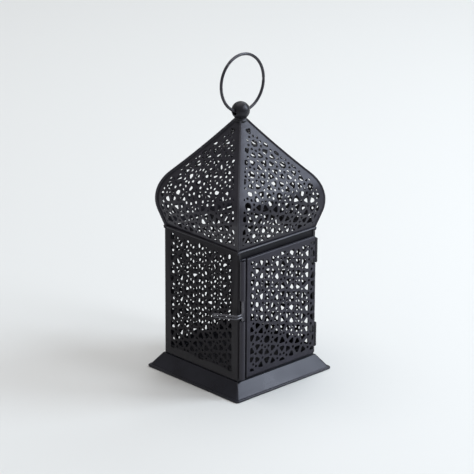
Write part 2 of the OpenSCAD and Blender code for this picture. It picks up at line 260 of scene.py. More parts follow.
def rosette(c):
    """The holes that a rosette at c adds, each as (centre, reach, outline)."""
    c = np.asarray(c, float)
    yield c, EYE, circle(c, EYE, 36)
    for k in range(10):
        a = math.radians(36 * k)
        p = c + polar(DOT_RING, a)
        yield p, DOT, circle(p, DOT)
        p = c + polar(PETAL_RING, a + math.radians(18))
        yield p, sum(PETAL), petal(p, PETAL, 36 * k + 198)
        if k < 6:
            p = c + polar(OUTER_RING, a)
            yield p, DOT, circle(p, DOT)
    for side in (-1, 1):
        p = c + np.array([STEP_U, side * KITE_OFF])
        yield p, sum(KITE), petal(p, KITE, -90 * side)


def lattice(reach):
    for i in range(-reach, reach + 1):
        for j in range(-reach, reach + 1):
            yield (i + j) * STEP_U, (i - j) * STEP_V


def flat_pattern(mid, half_u, half_v):
    """The holes of a rectangular window, those on its border cut off straight."""
    holes = []
    for c in lattice(5):
        for p, reach, loop in rosette(c):
            if abs(p[0]) > half_u + 0.2 * reach or abs(p[1]) > half_v + 0.2 * reach:
                continue
            for n, d in (((1, 0), half_u), ((-1, 0), half_u), ((0, 1), half_v), ((0, -1), half_v)):
                loop = clipped(loop, n, d)
            holes.append(loop + np.asarray(mid))
    return tidy_holes(holes)


def tidy_holes(holes, least=0.5):
    tidy = [without_short_edges(h) for h in holes if len(h) > 2 and area(h) > least]
    return [h for h in tidy if len(h) > 2]


# ---- Sheets ----

def inside(loop, points):
    """Which points lie inside a loop."""
    hit = np.zeros(len(points), bool)
    u, v = points[:, 0], points[:, 1]
    for a, b in zip(loop, np.roll(loop, -1, axis=0)):
        crosses = (a[1] > v) != (b[1] > v)
        if crosses.any():
            rise = b[1] - a[1] if b[1] != a[1] else 1e-12
            hit ^= crosses & (u < a[0] + (v - a[1]) * (b[0] - a[0]) / rise)
    return hit


def triangulated(outline, holes, creases):
    """Triangles between an outline and its holes, with an edge along each crease."""
    points, edges = [], []
    for loop in [outline, *holes]:
        first = len(points)
        points += [Vector(p) for p in loop]
        edges += [(first + k, first + (k + 1) % len(loop)) for k in range(len(loop))]
    for a, b in creases:
        edges.append((len(points), len(points) + 1))
        points += [Vector(a), Vector(b)]
    verts, _, tris = delaunay_2d_cdt(points, edges, [], 0, 1e-5, False)[:3]
    uv = np.array([tuple(v) for v in verts], float)
    tris = np.array(tris, int)
    centres = uv[tris].mean(axis=1)
    keep = inside(outline, centres)
    for hole in holes:
        lo, hi = hole.min(axis=0), hole.max(axis=0)
        near = np.flatnonzero(keep & (centres > lo).all(axis=1) & (centres < hi).all(axis=1))
        keep[near[inside(hole, centres[near])]] = False
    tris = tris[keep]
    cross = np.cross(uv[tris[:, 1]] - uv[tris[:, 0]], uv[tris[:, 2]] - uv[tris[:, 0]])
    tris = tris[np.abs(cross) > 1e-9]
    cross = cross[np.abs(cross) > 1e-9]
    tris[cross < 0] = tris[cross < 0][:, ::-1]
    used = np.unique(tris)
    renumber = np.full(len(uv), -1)
    renumber[used] = np.arange(len(used))
    return uv[used], renumber[tris]


def rims(tris):
    """The loops of edges that only one triangle uses, with the sheet on their left."""
    edges = {(int(t[k]), int(t[(k + 1) % 3])) for t in tris for k in range(3)}
    after = {a: b for a, b in edges if (b, a) not in edges}
    loops = []
    while after:
        a, b = after.popitem()
        loop = [a]
        while b != a and b in after:
            loop.append(b)
            b = after.pop(b)
        loops.append(loop)
    return loops


def sheet(mesh, outline, holes, place, creases=(), thick=None, edge=EDGE):
    """Adds a sheet whose outer face is drawn in (u, v). place(uv) gives the face's points, its
    two tangents and its normal. Cut edges are rounded by edge."""
    thick = SHEET if thick is None else thick
    uv, tris = triangulated(grown(outline, -edge), [grown(h, edge) for h in holes], creases)
    p, tu, tv, n = place(uv)
    mesh.add(p, tris, n)
    mesh.add(p - thick * n, tris[:, ::-1], -n)
    for loop in rims(tris):
        rim = uv[loop]
        move, out = miters(rim)
        q, _, _, m = place(rim + edge * move)
        side = out[:, :1] * tu[loop] + out[:, 1:] * tv[loop]
        rows = [p[loop], q - edge * m, q - (thick - edge) * m, p[loop] - thick * n[loop]]
        leans = [n[loop], side, side, -n[loop]]
        k = len(loop)
        faces = [[r * k + i, (r + 1) * k + i, (r + 1) * k + (i + 1) % k, r * k + (i + 1) % k]
                 for r in range(3) for i in range(k)]
        mesh.add(np.concatenate(rows), faces, np.concatenate(leans))


def facing_front(y, fold_u=None, fold_v=None):
    """A place() for a sheet that faces -Y at y, with u along X and v along Z. fold_u and fold_v
    turn an unrolled u or v into (position, depth, angle of the fold)."""
    def place(uv):
        x, depth_u, a = fold_u(uv[:, 0]) if fold_u else (uv[:, 0], 0 * uv[:, 0], 0 * uv[:, 0])
        z, depth_v, b = fold_v(uv[:, 1]) if fold_v else (uv[:, 1], 0 * uv[:, 1], 0 * uv[:, 1])
        zero = 0 * x
        points = np.stack([x, y + depth_u + depth_v, z], axis=1)
        tu = np.stack([np.cos(a), np.sin(a), zero], axis=1)
        tv = np.stack([zero, np.sin(b), np.cos(b)], axis=1)
        return points, tu, tv, np.cross(tu, tv)
    return place


def fold_back(lo, hi, r=FOLD):
    """Folds what lies past lo and hi back by 90 degrees, lo and hi being the finished width."""
    lo_start, hi_start = lo + r, hi - r

    def fold(w):
        past = np.where(w > hi_start, w - hi_start, np.where(w < lo_start, w - lo_start, 0))
        a = np.clip(np.abs(past) / r, 0, math.pi / 2)
        straight = np.maximum(np.abs(past) - r * math.pi / 2, 0)
        position = np.clip(w, lo_start, hi_start) + np.sign(past) * r * np.sin(a)
        return position, r * (1 - np.cos(a)) + straight, np.sign(past) * a
    return fold


def fold_lines(lo, hi, ends, r=FOLD, steps=5):
    """The u (or v) of the creases along both folds."""
    return [w for k in range(steps + 1) for w in
            (lo + r - k * r * math.pi / 2 / steps, hi - r + k * r * math.pi / 2 / steps)
            if ends[0] < w < ends[1]]


def unrolled(width, depth, r=FOLD):
    """How far a folded sheet reaches in u from the middle, when flat."""
    return width - r + r * math.pi / 2 + depth - r


# ---- Round and swept shapes ----

AXIS_R = 0.01                            # radius where a turned profile meets its axis


def lathe(mesh, profile, segments, centre=(0, 0, 0), axis="z", closed=False):
    """Turns a profile of (radius, height) round an axis, closed in itself or capped at its ends."""
    profile = np.asarray(profile, float)
    a = np.linspace(0, 2 * math.pi, segments, endpoint=False)
    ring = np.stack([np.cos(a), np.sin(a)], axis=1)
    points = []
    for r, h in profile:
        points.append(np.column_stack([r * ring, np.full(segments, h)]))
    points = np.concatenate(points)
    if axis == "x":
        points = points[:, [2, 0, 1]]
    rows = len(profile)
    faces = []
    for k in range(rows if closed else rows - 1):
        j = (k + 1) % rows
        for i in range(segments):
            n = (i + 1) % segments
            faces.append([k * segments + i, k * segments + n, j * segments + n, j * segments + i])
    if not closed:
        faces.append(list(range(segments))[::-1])
        faces.append([(rows - 1) * segments + i for i in range(segments)])
    mesh.add(points + np.asarray(centre, float), faces)


def swept(mesh, path, section, up, closed=False):
    """Sweeps a closed section, or one section for each point, along a path. A section's first
    coordinate lies across the path, square to up, and its second one completes the pair."""
    path = np.asarray(path, float)
    n = len(path)
    if closed:
        along = np.roll(path, -1, axis=0) - np.roll(path, 1, axis=0)
    else:
        along = np.gradient(path, axis=0)
    along /= np.linalg.norm(along, axis=1, keepdims=True)
    across = np.zeros_like(path)
    last = np.cross(along[0], up)
    for k in range(n):
        last = last - along[k] * np.dot(last, along[k])
        last /= np.linalg.norm(last)
        across[k] = last
    other = np.cross(across, along)
    sections = section if isinstance(section, list) else [section] * n
    m = len(sections[0])
    points = [path[k] + sections[k][:, :1] * across[k] + sections[k][:, 1:] * other[k] for k in range(n)]
    faces = []
    for k in range(n if closed else n - 1):
        j = (k + 1) % n
        for i in range(m):
            w = (i + 1) % m
            faces.append([k * m + i, k * m + w, j * m + w, j * m + i])
    if not closed:
        faces.append(list(range(m))[::-1])
        faces.append([(n - 1) * m + i for i in range(m)])
    mesh.add(np.concatenate(points), faces)


def square_rings(mesh, profile, corner, closed=True, steps=6):
    """A four-sided shape with round corners: profile lists (half width, height), and corner
    gives the corner radius for each of them."""
    rows = []
    for (w, z), r in zip(profile, corner):
        ring = [arc((sx * (w - r), sy * (w - r)), r, a, a + 90, steps)
                for sx, sy, a in ((1, 1, 0), (-1, 1, 90), (-1, -1, 180), (1, -1, 270))]
        ring = np.concatenate(ring)
        rows.append(np.column_stack([ring, np.full(len(ring), z)]))
    m = len(rows[0])
    n = len(rows)
    faces = []
    for k in range(n if closed else n - 1):
        j = (k + 1) % n
        for i in range(m):
            w = (i + 1) % m
            faces.append([k * m + i, k * m + w, j * m + w, j * m + i])
    mesh.add(np.concatenate(rows), faces)
    return rows


def plate(mesh, lo, hi, edge=0.1):
    """A flat plate between two corners, its thinnest way being along Y, with rounded edges."""
    sheet(mesh, rectangle(lo[0], lo[2], hi[0], hi[2]), [], facing_front(lo[1]), (), hi[1] - lo[1], edge)


# ---- Materials ----

def powder_coat(name, colour, roughness=0.42, grain=0.35, wear=0.5, gloss=1.4):
    """Satin powder coat: fine orange peel, slow changes of tone and gloss, rubbed edges and specks."""
    material = bpy.data.materials.new(name)
    material.use_nodes = True
    tree = material.node_tree
    nodes, link = tree.nodes, tree.links.new
    shader = nodes["Principled BSDF"]
    shader.inputs["IOR"].default_value = gloss
    shader.inputs["Specular Tint"].default_value = (0.92, 0.9, 1, 1)
    place = nodes.new("ShaderNodeTexCoord").outputs["Object"]

    def noise(scale, detail, rough=0.5):
        node = nodes.new("ShaderNodeTexNoise")
        node.inputs["Scale"].default_value = scale
        node.inputs["Detail"].default_value = detail
        node.inputs["Roughness"].default_value = rough
        link(place, node.inputs["Vector"])
        return node.outputs["Fac"]

    def spread(value, lo, hi, to_lo, to_hi):
        node = nodes.new("ShaderNodeMapRange")
        for key, v in (("From Min", lo), ("From Max", hi), ("To Min", to_lo), ("To Max", to_hi)):
            node.inputs[key].default_value = v
        link(value, node.inputs["Value"])
        return node.outputs["Result"]

    def mixed(factor, a, b):
        node = nodes.new("ShaderNodeMix")
        node.data_type = "RGBA"
        link(factor, node.inputs["Factor"])
        for socket, v in ((node.inputs["A"], a), (node.inputs["B"], b)):
            if isinstance(v, tuple):
                socket.default_value = (*v, 1)
            else:
                link(v, socket)
        return node.outputs["Result"]

    patches = noise(45, 3)
    specks = noise(900, 2, 0.7)
    peel = noise(2600, 2)
    geometry = nodes.new("ShaderNodeNewGeometry")
    light = tuple(1.25 * c + 0.002 for c in colour)
    dark = tuple(0.8 * c for c in colour)
    rubbed = tuple(0.05 + c for c in colour)
    tone = mixed(spread(patches, 0.35, 0.65, 0, 1), dark, light)
    tone = mixed(spread(specks, 0.66, 0.75, 0, 0.25), tone, rubbed)
    edges = spread(geometry.outputs["Pointiness"], 0.53, 0.62, 0, wear)
    tone = mixed(edges, tone, rubbed)
    link(tone, shader.inputs["Base Color"])
    link(spread(patches, 0.3, 0.7, roughness - 0.05, roughness + 0.06), shader.inputs["Roughness"])
    bump = nodes.new("ShaderNodeBump")
    bump.inputs["Strength"].default_value = grain
    bump.inputs["Distance"].default_value = 0.00006
    link(peel, bump.inputs["Height"])
    link(bump.outputs["Normal"], shader.inputs["Normal"])
    return material


# The body's coat is a darker copy of the powder coat: painted shade for the side away from the light.
BODY_COAT_PAINTED_SHADE = powder_coat("body_coat_painted_shade", (0.007, 0.006, 0.008), gloss=1.24)
ROOF_COAT = powder_coat("roof_coat", (0.013, 0.012, 0.018), roughness=0.36)
# The door's coat is a lighter, bluer copy of the same powder coat: painted light for the lit front.
DOOR_COAT_PAINTED_LIGHT = powder_coat("door_coat_painted_light", (0.015, 0.014, 0.022), roughness=0.38)
SKIRT_COAT = powder_coat("skirt_coat", (0.006, 0.0065, 0.011), roughness=0.3)
# A darker, rougher copy of the coat, for the tray, the washer and the nut. On the frame's strip under the
# roof, its darkness is painted shade.
INNER_COAT_AND_PAINTED_SHADE = powder_coat("inner_coat_and_painted_shade", (0.005, 0.005, 0.007), roughness=0.5, gloss=1.25)
RING_COAT = powder_coat("ring_coat", (0.022, 0.021, 0.025), 0.26, grain=0.2, wear=0.3, gloss=1.5)
# Lighter than the ring's coat on the same kind of wire: painted light for the highlight along the latch.
LATCH_COAT_PAINTED_LIGHT = powder_coat("latch_coat_painted_light", (0.045, 0.044, 0.05), 0.22, grain=0.1, wear=0.2, gloss=1.7)
HARDWARE_COAT = powder_coat("hardware_coat", (0.010, 0.010, 0.012), roughness=0.36, wear=0.4)


# ---- Body ----

def side_panel(name, turn):
    """A pierced side whose two upright edges fold round the corners."""
    reach = unrolled(HALF, LAP)
    place = facing_front(-HALF, fold_back(-HALF, HALF))
    lines = fold_lines(-HALF, HALF, (-reach, reach))
    creases = [((u, BODY_Z0 - 1), (u, BODY_Z1 + 1)) for u in lines]
    mesh = Mesh()
    holes = flat_pattern((0, PANEL_MID_V), WINDOW_U, PANEL_WINDOW_V)
    sheet(mesh, rectangle(-reach, BODY_Z0, reach, BODY_Z1), holes, place, creases)
    mesh.turned(turn).piece(name, "root", [name], "body_metal", BODY_COAT_PAINTED_SHADE)


def back_panel():
    """The pierced back, with a row of vent slots under the roof."""
    inner = FRONT_HI[0]
    slots, pitch, length, height = 12, 7, 6, 1.3
    slot_z = BODY_Z1 - 1.45
    mesh = Mesh()
    holes = flat_pattern((0, PANEL_MID_V), WINDOW_U, PANEL_WINDOW_V)
    holes += [slot_hole(((k - (slots - 1) / 2) * pitch, slot_z), length, height) for k in range(slots)]
    sheet(mesh, rectangle(-inner, BODY_Z0, inner, BODY_Z1), holes, facing_front(-inner))
    mesh.turned(180).piece("back_panel", "root", ["back_panel"], "body_metal", BODY_COAT_PAINTED_SHADE)


def front_frame():
    """The plain frame behind the door's edges. Its darker coat is painted shade on the recessed strip
    under the roof.
    """
    inner = FRONT_HI[0]
    mesh = Mesh()
    opening = rectangle(-41, 20, 41, 127)
    sheet(mesh, rectangle(-inner, BODY_Z0, inner, BODY_Z1), [opening], facing_front(FRONT_LO[1]))
    mesh.piece("front_frame", "root", ["front_frame"], "body_metal", INNER_COAT_AND_PAINTED_SHADE)


def floor_tray():
    """A pan with upturned edges."""
    w, d = TRAY_HI[0], TRAY_HI[1]
    z0, z1 = TRAY_LO[2], TRAY_HI[2]
    outer = [(w - 1.2, z0), (w - 0.35, z0 + 0.35), (w, z0 + 1.2), (w, z1 - 0.2), (w - 0.2, z1)]
    inner = [(w - 0.6, z1), (w - SHEET, z1 - 0.2), (w - SHEET, z0 + 1.3), (w - 1.3, z0 + SHEET)]
    mesh = Mesh()
    profile = outer + inner
    corner_r = 1.4
    rows = square_rings(mesh, profile, [corner_r] * len(profile), closed=False)
    m = len(rows[0])
    mesh.faces.append(list(range(m))[::-1])
    mesh.faces.append([(len(rows) - 1) * m + i for i in range(m)])
    mesh.points = [p * np.array([1, d / w, 1]) for p in mesh.points]
    mesh.piece("floor_tray", "root", ["floor_tray"], "inner_metal", INNER_COAT_AND_PAINTED_SHADE)


def base_skirt():
    """The flared base: a flange under the body, a slope, a flare and a rolled lip."""
    w = SKIRT_HI[0]
    slope_end = (w - 3.8, 5.2)
    lip_r = 1.3
    lip = (w - lip_r, lip_r - 0.1)
    shelf_z = BODY_Z0 - REVEAL
    top = (HALF + 1.1, shelf_z)
    bead = [(lip[0] + lip_r * math.cos(a), lip[1] + lip_r * math.sin(a))
            for a in np.radians(np.linspace(110, -90, 14))]
    drop_x = HALF - 0.4
    flange_x = HALF - 5
    outer = [(flange_x, BODY_Z0), (drop_x - 0.15, BODY_Z0), (drop_x, BODY_Z0 - 0.15), (drop_x, shelf_z),
             (top[0] - 0.35, shelf_z), (top[0], shelf_z - 0.1), (top[0] + 0.2, shelf_z - 0.3)]
    steps = np.linspace(0.08, 0.94, 5)
    outer += [(top[0] + t * (slope_end[0] - top[0]), top[1] + t * (slope_end[1] - top[1])) for t in steps]
    outer += [(slope_end[0] + 0.2, slope_end[1] - 0.35), (slope_end[0] + 1.1, slope_end[1] - 1.5)]
    inner = [(lip[0] - lip_r, lip[1] - 0.4), (lip[0] - lip_r, lip[1] + 0.3),
             (slope_end[0] + 0.3, slope_end[1] - 2.0), (slope_end[0] - 0.7, slope_end[1] - 0.7),
             (top[0] - 0.5, shelf_z - SHEET), (drop_x - SHEET, shelf_z - SHEET),
             (drop_x - SHEET, BODY_Z0 - SHEET), (flange_x, BODY_Z0 - SHEET)]
    profile = outer + bead + inner
    least_r, more_r = 0.5, 2.6  # of the corners: at the body, and added towards the lip
    corner = [least_r + more_r * min(1, max(0, (x - HALF) / (w - HALF))) for x, _ in profile]
    mesh = Mesh()
    square_rings(mesh, profile[::-1], corner[::-1])
    mesh.piece("base_skirt", "root", ["base_skirt"], "skirt_metal", SKIRT_COAT, sharp=28)


# ---- Roof ----

def roof_profile(s):
    """Distance from the axis, height and lean of the outer face at the distance s from the eave."""
    s = np.asarray(s, float)
    a = np.where(s < FOOT_RUN, FOOT_A, FOOT_A + (s - FOOT_RUN) / BULGE_R)
    a = np.where(s > FOOT_RUN + BULGE_RUN, NECK_A - (s - FOOT_RUN - BULGE_RUN) / SWEEP_R, a)
    foot = EAVE + s[..., None] * np.array([-math.sin(FOOT_A), math.cos(FOOT_A)])
    bulge = np.array([BULGE_X, BULGE_Z]) + polar(BULGE_R, a)
    sweep = SWEEP_C - polar(SWEEP_R, a)
    p = np.where((s < FOOT_RUN)[..., None], foot, bulge)
    p = np.where((s > FOOT_RUN + BULGE_RUN)[..., None], sweep, p)
    return p[..., 0], p[..., 1], a


def roof_border(s):
    """Half width of the pierced area at s. The plain border widens a little over the bulge."""
    border, widening, over = 5.4, 0.8, 30
    return roof_profile(s)[0] - border - widening * np.clip((s - FOOT_RUN) / over, 0, 1)


def roof_sheet(s):
    """What roof_profile gives, with the flange that the sheet turns out into at its foot."""
    d, z, a = roof_profile(s)
    down = np.clip(CREASE_S - s, 0, None)
    turn = np.minimum(down / CREASE_R, CREASE_TURN)
    beyond = np.clip(down - CREASE_R * CREASE_TURN, 0, None)
    start_d, start_z, _ = roof_profile(CREASE_S)
    centre = np.array([start_d, start_z]) + polar(CREASE_R, FOOT_A)
    b = FOOT_A + turn
    flange = centre - polar(CREASE_R, b) + beyond[..., None] * np.stack([np.sin(b), -np.cos(b)], axis=-1)
    low = s < CREASE_S
    return np.where(low, flange[..., 0], d), np.where(low, flange[..., 1], z), np.where(low, b, a)


def roof_place(uv):
    """Bends the flat sheet to the roof's profile, and its left border a little inwards."""
    d, z, a = roof_sheet(uv[:, 1])
    zero = 0 * d
    normal = np.stack([zero, -np.cos(a), np.sin(a)], axis=1)
    past = np.clip(EDGE_BEND_W - d - uv[:, 0], 0, None)[:, None]
    lean = EDGE_BEND_A * past / EDGE_BEND_W
    points = np.stack([uv[:, 0], -d, z], axis=1) - normal * past * lean / 2
    across = np.array([1, 0, 0])
    tu = np.cos(lean) * across + np.sin(lean) * normal
    tv = np.stack([zero, np.sin(a), np.cos(a)], axis=1)
    return points, tu, tv, np.cos(lean) * normal - np.sin(lean) * across


def roof_pattern():
    """The holes of a roof panel, those on its border cut off along it."""
    holes = []
    for c in lattice(3):
        for p, reach, loop in rosette((c[0], c[1] + ROSETTE_S)):
            border = float(roof_border(p[1]))
            if not PATTERN_S[0] - 0.5 < p[1] < PATTERN_S[1] or abs(p[0]) > border + 0.2 * reach:
                continue
            slope = float(roof_border(p[1] + 0.5) - roof_border(p[1] - 0.5))
            for side in (-1, 1):
                n = np.array([side, -slope]) / math.hypot(1, slope)
                loop = clipped(loop, n, (border - slope * p[1]) / math.hypot(1, slope))
            loop = clipped(loop, (0, -1), -PATTERN_S[0])
            loop = clipped(loop, (0, 1), PATTERN_S[1])
            holes.append(loop)
    return tidy_holes(holes)


def hem(mesh):
    """The flange's outer edge: a strip with a sloped side, mitred at the corners."""
    reach = HALF + HEM - 0.02
    start = reach - 0.8
    top = BODY_Z1 + SHEET - 0.02
    section = [(start, top), (reach - HEM_BEVEL, top), (reach, BODY_Z1 + 0.1),
               (reach - 0.1, BODY_Z1), (start, BODY_Z1)]
    for (d0, z0), (d1, z1) in zip(section, section[1:] + section[:1]):
        normal = np.array([0, z1 - z0, d1 - d0]) / math.hypot(z1 - z0, d1 - d0)
        strip = [(-d1, -d1, z1), (d1, -d1, z1), (d0, -d0, z0), (-d0, -d0, z0)]
        mesh.add(strip, [[0, 1, 2, 3]], [normal] * 4)
    for side in (-1, 1):
        end = [(side * d, -d, z) for d, z in section[::side]]
        mesh.add(end, [list(range(len(end)))], [np.array([side, 1, 0]) / math.sqrt(2)] * len(end))


def roof_panel(name, turn):
    """A pierced panel, creased at every level where its profile bends."""
    fine = np.linspace(FOOT_RUN, FOOT_RUN + BULGE_RUN, 18)
    levels = np.concatenate([fine, np.linspace(FOOT_RUN + BULGE_RUN + 8, ROOF_RUN - 6, 8)])
    crease = np.linspace(CREASE_S - CREASE_R * CREASE_TURN, CREASE_S, 6)
    levels = np.concatenate([crease, levels])
    s = np.concatenate([[FLANGE_S], levels, [ROOF_RUN]])
    half = roof_sheet(s)[0] - SHEET
    right = np.stack([half, s], axis=1)
    outline = np.concatenate([right, right[::-1] * [-1, 1]])
    creases = [((-70, v), (70, v)) for v in levels]
    mesh = Mesh()
    sheet(mesh, outline, roof_pattern(), roof_place, creases)
    hem(mesh)
    mesh.turned(turn).piece(name, "root", [name], "roof_metal", ROOF_COAT)


def ridge_seam(name, turn):
    """Two flanges folded together along a ridge, with a fine slit between them and a drop of
    solder at the foot."""
    s = np.linspace(0, ROOF_RUN, 70)
    d, z, _ = roof_profile(s)
    path = np.stack([0 * s, -d * math.sqrt(2), z], axis=1)
    half, root, top = SHEET, -1.1, 1.0
    section = [(-half, root), (-half, top - 0.35), (-half + 0.15, top - 0.08), (-half + 0.4, top),
               (-0.2, top), (0, top - 0.25), (0.2, top),
               (half - 0.4, top), (half - 0.15, top - 0.08), (half, top - 0.35), (half, root)]
    mesh = Mesh()
    swept(mesh, path, np.array(section), up=(0, -1, 0))
    drop_r, drop_half, steps = 1.3, 1.9, 8
    drop = [(drop_r * math.sin(a), drop_half * math.cos(a))
            for a in (k * math.pi / steps for k in range(steps - 1, 0, -1))]
    drop = [(AXIS_R, -drop_half), *drop, (AXIS_R, drop_half)]
    lathe(mesh, drop, 20, (0, -HALF * math.sqrt(2) + 0.6, BODY_Z1 - 0.4))
    mesh.turned(turn).piece(name, "root", [name], "roof_metal", ROOF_COAT, sharp=30)


# ---- Finial and ring ----

BALL_LO, BALL_HI = cad_box("ball_finial")
BALL_R = (BALL_HI[1] - BALL_LO[1]) / 2
BALL_Z = BALL_HI[2] - BALL_R
HOLE_R = 2.8


def ball_finial():
    """A ball drilled through along X, on a short waisted neck with its stud."""
    mesh = Mesh()
    end = math.degrees(math.asin(HOLE_R / BALL_R))
    countersink = 2.5
    first = end + countersink
    outer = [(BALL_R * math.sin(a), BALL_R * math.cos(a))
             for a in np.radians(np.linspace(first, 180 - first, 40))]
    x = BALL_R * math.cos(math.radians(end))
    inner = [(HOLE_R, -x + 0.6), (HOLE_R, x - 0.6)]
    rim = [(HOLE_R + 0.12, -x + 0.15)]
    profile = outer + rim + inner + [(HOLE_R + 0.12, x - 0.15)]
    lathe(mesh, profile[::-1], 64, (0, 0, BALL_Z), "x", closed=True)
    z = ROOF_HI[2] - 0.2
    stud = [(AXIS_R, BALL_LO[2]), (1.7, BALL_LO[2]), (2, BALL_LO[2] + 0.3), (2, z - 1)]
    neck = [(5.2, z - 1), (6.4, z), (6.45, z + 0.5), (6.1, z + 1.0), (5.6, z + 1.5), (5.35, z + 2.1),
            (5.45, z + 2.8), (5.8, z + 3.4), (5.9, z + 4.2), (AXIS_R, z + 4.3)]
    lathe(mesh, stud + neck, 64)
    mesh.piece("ball_finial", "root", ["ball_finial"], "hardware_metal", HARDWARE_COAT)


def hanging_ring():
    """A ring of wire with a butt joint and two small flats left by the bending pliers."""
    lo, hi = cad_box("hanging_ring")
    wire = 1.35
    lean = math.radians(3)
    pivot = np.array(joint("ring_swing")["pos_m"]) / MM
    r = (hi[0] - lo[0]) / 2 - wire
    centre_x = (hi[0] + lo[0]) / 2
    top = (hi[2] - pivot[2]) / math.cos(lean) - wire
    a = np.linspace(0, 2 * math.pi, 160, endpoint=False) - math.pi / 2
    path = np.stack([centre_x + r * np.cos(a), 0 * a, top - r + r * np.sin(a)], axis=1)
    turn = np.array([[1, 0, 0], [0, math.cos(lean), -math.sin(lean)], [0, math.sin(lean), math.cos(lean)]])
    path = path @ turn + pivot
    flats, flat_depth, flat_width = np.radians([88, 128]), 0.28, 0.035
    joint_steps, joint_size = (38, 39), 0.86
    sections = []
    for k, b in enumerate(a):
        size = np.ones(2) * wire
        for flat in flats:
            size[1] -= flat_depth * math.exp(-((b - flat) / flat_width) ** 2)
        if k in joint_steps:
            size *= joint_size
        sections.append(polar(1, np.linspace(0, 2 * math.pi, 20, endpoint=False)) * size)
    mesh = Mesh()
    swept(mesh, path, sections, closed=True, up=(0, 1, 0))
    mesh.piece("hanging_ring", "ring", ["hanging_ring"], "wire_metal", RING_COAT, sharp=60)


# ---- Door ----

PIVOT = np.array(joint("latch_swing")["pos_m"]) / MM
HINGE = np.array(joint("door_hinge")["pos_m"]) / MM
FACE_Y = DOOR_LO[1]
FACE_X0 = -40.0                          # left edge of the door's face
FACE_X1 = 46.4
NO_FOLD = -200.0                         # an edge that the door doesn't reach
DOOR_DEEP = SHEET + 1.5                  # depth of the door's folded edges
STEP_R = 0.9                             # fold from the face into the step on the left
STEP_RUN = 0.8                           # flat part of the step
TIGHT_R = 0.1                            # fold from the step into the strip
STRIP_W = 5.0                            # width of the strip
CORNER_R = 2.5                           # round corners on the hinge side
HINGE_H = 22.0
HINGE_Z = (24.0, 106.0)
HINGE_ROOM = 1.3                         # what the door leaves free above and below a hinge
ROLL_R = 2.5


def door_fold_u(u):
    """The door unrolled: a strip behind, a step forward, the face, and a folded right edge."""
    start = FACE_X0 + STEP_R
    a_left = np.clip((start - u) / STEP_R, 0, math.pi / 2)
    step = np.clip(start - STEP_R * math.pi / 2 - u, 0, None)
    x, depth, a = fold_back(NO_FOLD, FACE_X1)(u)
    turning = u < start
    past = np.clip(step - STEP_RUN, 0, None)
    back = np.clip(past / TIGHT_R, 0, math.pi / 2)
    beyond = np.clip(past - TIGHT_R * math.pi / 2, 0, None)
    left_x = start - STEP_R * np.sin(a_left) - TIGHT_R * (1 - np.cos(back)) - beyond
    left_depth = STEP_R * (1 - np.cos(a_left)) + np.minimum(step, STEP_RUN) + TIGHT_R * np.sin(back)
    left_a = -a_left + back
    return (np.where(turning, left_x, x), np.where(turning, left_depth, depth),
            np.where(turning, left_a, a))


def door_panel():
    """The pierced door, drawn as one sheet whose right edge is cut back at the hinges."""
    z0, z1 = DOOR_LO[2], DOOR_HI[2]
    r = CORNER_R
    deep = unrolled(0, DOOR_DEEP)
    u1 = FACE_X1 + deep
    step_u = FACE_X0 + STEP_R
    strip_u = step_u - STEP_R * math.pi / 2 - STEP_RUN
    left = strip_u - 0.16 - STRIP_W
    top, low = z1 + deep, z0 - deep
    inset = FACE_X0 + 0.3
    cut = HINGE[0] - 1.9
    outline = [(left, z0), (FACE_X0, z0), (inset, low), (FACE_X1 - r, low), (FACE_X1 - r, z0)]
    outline += [tuple(p) for p in arc((FACE_X1 - r, z0 + r), r, -80, -10, 6)]
    outline += [(FACE_X1, z0 + r), (u1, z0 + r)]
    for z in HINGE_Z:
        cut_z0, cut_z1 = z - HINGE_ROOM, z + HINGE_H + HINGE_ROOM
        outline += [(u1, cut_z0), (cut, cut_z0), (cut, cut_z1), (u1, cut_z1)]
    outline.pop()  # the upper cut ends in the round corner
    outline += [tuple(p) for p in arc((FACE_X1 - r, z1 - r), r, 20, 80, 6)]
    outline += [(FACE_X1 - r, z1), (FACE_X1 - r, top), (inset, top), (FACE_X0, z1), (left, z1)]
    holes = flat_pattern((DOOR_MID_U, (z0 + z1) / 2), WINDOW_U, DOOR_WINDOW_V)
    creases = [((u, low - 1), (u, top + 1)) for u in fold_lines(NO_FOLD, FACE_X1, (-100, u1))]
    creases += [((left - 1, v), (u1 + 1, v)) for v in fold_lines(z0, z1, (low, top))]
    lines = [step_u - k * STEP_R * math.pi / 10 for k in range(6)]
    lines += [strip_u - k * TIGHT_R / 2 for k in range(4)]
    creases += [((u, z0 - 1), (u, z1 + 1)) for u in lines]
    mesh = Mesh()
    place = facing_front(FACE_Y, door_fold_u, fold_back(z0, z1))
    sheet(mesh, np.array(outline, float), holes, place, creases)
    mesh.piece("door_panel", "door", ["door_panel"], "door_metal", DOOR_COAT_PAINTED_LIGHT)


def rolled_edge(name):
    """The door's left edge curled into a tube, with a slit where the curl ends."""
    lo, hi = cad_box(name)
    start, curl = 88, 325
    angles = np.radians(np.linspace(start, start + curl, 56))
    outer = polar(ROLL_R, angles)
    inner = polar(ROLL_R - SHEET, angles)[::-1]
    section = np.concatenate([outer, inner]) + PIVOT[:2]
    mesh = Mesh()
    raised_strip(mesh, section, lo[2], hi[2])
    mesh.piece(name, "door", [name], "door_metal", DOOR_COAT_PAINTED_LIGHT)


